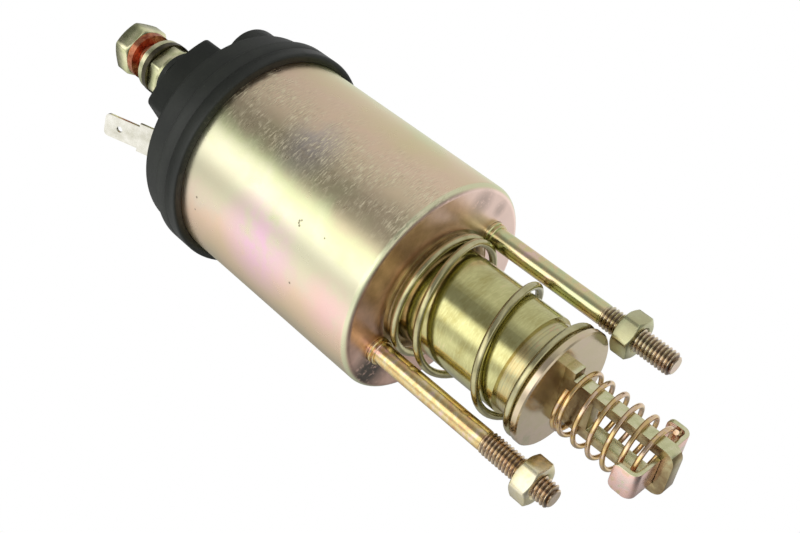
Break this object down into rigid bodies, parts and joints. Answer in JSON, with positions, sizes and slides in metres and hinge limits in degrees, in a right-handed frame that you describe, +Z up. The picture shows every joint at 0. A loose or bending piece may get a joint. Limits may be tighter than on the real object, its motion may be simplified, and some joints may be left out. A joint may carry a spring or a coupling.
{
  "type": "starter solenoid",
  "caption": "Starter solenoid: steel can with mounting studs, sprung plunger with a link and spring clip, and a black cap with terminals.",
  "frame": {"origin": "centre of the front mounting face, on the plunger's axis", "axes": "+X along the axis, the way the plunger comes out; the mounting studs lie on Y; +Z up"},
  "size_m": [0.1796, 0.0626, 0.0628],
  "materials": {
    "zinc_steel": "yellow zinc plate, iridescent",
    "zinc_link": "yellow zinc plate, olive",
    "zinc_pale": "pale yellow zinc plate",
    "brass": "drawn brass",
    "iron": "machined soft iron",
    "copper": "copper",
    "black_moulding": "black phenolic, matte",
    "bobbin_plastic": "natural nylon",
    "insulator": "brown laminate",
    "gasket": "black rubber",
    "tinned": "tin plate",
    "dark_steel": "blackened steel",
    "spring_wire": "plated spring wire"
  },
  "bodies": {
    "housing": {"battery_dark_washer": "dark_steel", "battery_flat_washer": "zinc_pale", "battery_inner_nut": "zinc_pale", "battery_outer_nut": "zinc_pale", "battery_seat_washer": "zinc_pale", "battery_spring_washer": "copper", "battery_terminal_bolt": "copper", "bobbin": "bobbin_plastic", "cap_gasket": "gasket", "cap_screws": "dark_steel", "far_mounting_stud": "zinc_steel", "far_stud_nut": "zinc_link", "fixed_core": "iron", "guide_tube": "brass", "hold_in_winding": "copper", "housing_can": "zinc_steel", "motor_dark_washer": "dark_steel", "motor_flat_washer": "zinc_pale", "motor_inner_nut": "zinc_pale", "motor_lead": "copper", "motor_outer_nut": "zinc_pale", "motor_seat_washer": "zinc_pale", "motor_spring_washer": "copper", "motor_terminal_bolt": "copper", "near_mounting_stud": "zinc_steel", "near_stud_nut": "zinc_pale", "opening_spring": "spring_wire", "pull_in_winding": "copper", "return_spring": "spring_wire", "spade_lead": "copper", "spade_terminal": "tinned", "terminal_cap": "black_moulding"},
    "plunger": {"plunger": "zinc_link", "retainer_disc": "zinc_steel", "link_plate": "zinc_link", "link_spring": "spring_wire"},
    "clip": {"spring_clip": "zinc_steel"},
    "contact": {"contact_rod": "iron", "front_insulator": "insulator", "contact_bridge": "copper", "rear_insulator": "insulator", "rod_retainer": "dark_steel", "contact_spring": "spring_wire"}
  },
  "joints": [
    {"name": "plunger_slide", "type": "slide", "parent": "housing", "child": "plunger", "axis": [1, 0, 0], "range_m": [-0.013, 0], "stiffness_N_per_m": 900, "springref_m": 0.006, "deforming": ["return_spring"]},
    {"name": "clip_slide", "type": "slide", "parent": "plunger", "child": "clip", "axis": [1, 0, 0], "range_m": [-0.008, 0], "stiffness_N_per_m": 2500, "springref_m": 0.004, "deforming": ["link_spring"]},
    {"name": "contact_slide", "type": "slide", "parent": "housing", "child": "contact", "axis": [1, 0, 0], "range_m": [-0.003, 0], "deforming": ["opening_spring"]}
  ],
  "couplings": [
    {"joint": "contact_slide", "follows": "plunger_slide", "ratio": 0.23}
  ]
}
